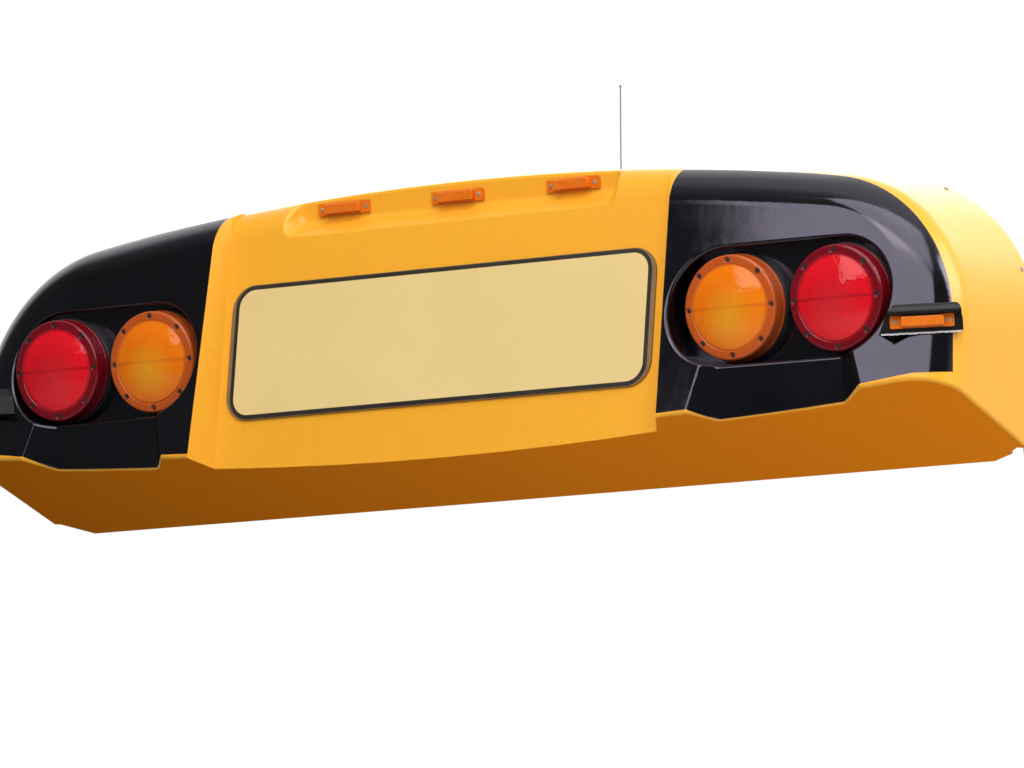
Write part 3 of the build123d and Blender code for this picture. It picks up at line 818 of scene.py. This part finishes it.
def make_floor():
    """Pale to the eye, white far away; the light that it throws back grows from left to right."""
    corners = [(x * FLOOR_HALF, y * FLOOR_HALF, FLOOR_Z) for x, y in ((-1, -1), (1, -1), (1, 1), (-1, 1))]
    mesh = bpy.data.meshes.new("floor")
    mesh.from_pydata(corners, [], [(0, 1, 2, 3)])
    floor = bpy.data.objects.new("floor", mesh)
    shader = Shader("pale_floor", grey(0.62), 0.6)
    path = shader.node("ShaderNodeLightPath").outputs
    by_gloss = shader.math("MAXIMUM", path["Is Glossy Ray"], path["Is Transmission Ray"])
    seen = shader.math("MAXIMUM", path["Is Camera Ray"], shader.math("MULTIPLY", by_gloss, FLOOR_IN_GLOSS))
    pale = shader.mix(shader.noise(1.5, 3), *map(grey, FLOOR_SEEN))
    thrown = shader.mix(shader.ramp(shader.axis(0), *THROWN_XS), *map(grey, FLOOR_THROWN))
    shader.color(shader.mix(seen, thrown, pale))
    spread = shader.node("ShaderNodeVectorMath", operation="LENGTH")
    shader.link(shader.coords, spread.inputs[0])
    far = shader.ramp(spread.outputs["Value"], *FLOOR_FADE)
    shader.set(Emission_Color=(1, 1, 1, 1))
    shader.link(shader.math("MULTIPLY", far, path["Is Camera Ray"]), shader.bsdf.inputs["Emission Strength"])
    mesh.materials.append(shader.material)
    scene.collection.objects.link(floor)


# Ranges of the ray's direction over which the sky changes, and its strengths at the two ends of the first
SKY_ZS = (0.6, 1.0)
SKY_STRENGTHS = (0.10, 0.45)
ABOVE_ZS = (0.86, 0.96)
BEHIND_YS = (0.0, 0.4)


def make_world():
    """White to the eye and glass, and to gloss behind and above; else a soft sky, dim at the horizon."""
    world = bpy.data.worlds.new("studio")
    world.use_nodes = True
    tree = world.node_tree

    def node(kind, **settings):
        made = tree.nodes.new(kind)
        for key, value in settings.items():
            setattr(made, key, value)
        return made

    def ramp(source, low, high, out_low, out_high):
        made = node("ShaderNodeMapRange", clamp=True, interpolation_type="SMOOTHSTEP")
        for key, value in (("From Min", low), ("From Max", high), ("To Min", out_low), ("To Max", out_high)):
            if isinstance(value, (int, float)):
                made.inputs[key].default_value = value
            else:
                tree.links.new(value, made.inputs[key])
        tree.links.new(source, made.inputs["Value"])
        return made.outputs["Result"]

    direction = node("ShaderNodeSeparateXYZ")
    tree.links.new(node("ShaderNodeTexCoord").outputs["Generated"], direction.inputs["Vector"])
    path = node("ShaderNodeLightPath").outputs
    sky = ramp(direction.outputs["Z"], *SKY_ZS, *SKY_STRENGTHS)
    above = ramp(direction.outputs["Z"], *ABOVE_ZS, sky, 1.0)
    behind = ramp(direction.outputs["Y"], *BEHIND_YS, above, 1.0)
    by_gloss = ramp(path["Is Glossy Ray"], 0, 1, sky, behind)
    by_glass = ramp(path["Is Transmission Ray"], 0, 1, by_gloss, 1.0)
    strength = ramp(path["Is Camera Ray"], 0, 1, by_glass, 1.0)
    background = tree.nodes["Background"]
    background.inputs["Color"].default_value = (1, 1, 1, 1)
    tree.links.new(strength, background.inputs["Strength"])
    scene.world = world


EDGE_FADE = 0.05


def soften(data):
    """The softbox fades towards its four edges."""
    data.use_nodes = True
    tree = data.node_tree
    split = tree.nodes.new("ShaderNodeSeparateXYZ")
    tree.links.new(tree.nodes.new("ShaderNodeNewGeometry").outputs["Parametric"], split.inputs["Vector"])
    strength = None
    for axis in ("X", "Y"):
        for edge in (0.0, 1.0):
            fade = tree.nodes.new("ShaderNodeMapRange")
            fade.interpolation_type = "SMOOTHSTEP"
            fade.inputs["From Min"].default_value = edge
            fade.inputs["From Max"].default_value = abs(edge - EDGE_FADE)
            tree.links.new(split.outputs[axis], fade.inputs["Value"])
            if strength is None:
                strength = fade.outputs["Result"]
                continue
            product = tree.nodes.new("ShaderNodeMath")
            product.operation = "MULTIPLY"
            tree.links.new(strength, product.inputs[0])
            tree.links.new(fade.outputs["Result"], product.inputs[1])
            strength = product.outputs["Value"]
    tree.links.new(strength, tree.nodes["Emission"].inputs["Strength"])


LIGHT_TARGET = Vector((0, -0.2, 0.1))

# Softboxes: name, azimuth from straight in front towards +X, elevation, distance, size, radiance
SOFTBOXES = (
    ("front_softbox", 20, 34, 6.2, (9.2, 4.0), 3.2),
    ("upper_softbox", 35, 60, 6.2, (7.0, 2.9), 2.9),
    ("side_softbox", 112, 30, 7.0, (4.0, 3.5), 7.5),
    ("rear_softbox", -172, 22, 8.0, (10.0, 3.8), 2.0),
)


def make_light(name, azimuth, elevation, distance, size, radiance):
    """Area light that faces the target; its power follows from its size and the radiance wanted."""
    turn, lift = math.radians(azimuth), math.radians(elevation)
    away = Vector((math.sin(turn) * math.cos(lift), -math.cos(turn) * math.cos(lift), math.sin(lift)))
    data = bpy.data.lights.new(name, "AREA")
    data.shape = "RECTANGLE"
    data.size, data.size_y = size
    data.energy = radiance * math.pi * size[0] * size[1]
    soften(data)
    light = bpy.data.objects.new(name, data)
    light.location = LIGHT_TARGET + away * distance
    light.rotation_euler = (-away).to_track_quat("-Z", "Y").to_euler()
    light.visible_camera = False
    scene.collection.objects.link(light)


make_floor()
make_world()
for softbox in SOFTBOXES:
    make_light(*softbox)
scene.view_settings.view_transform = "Standard"
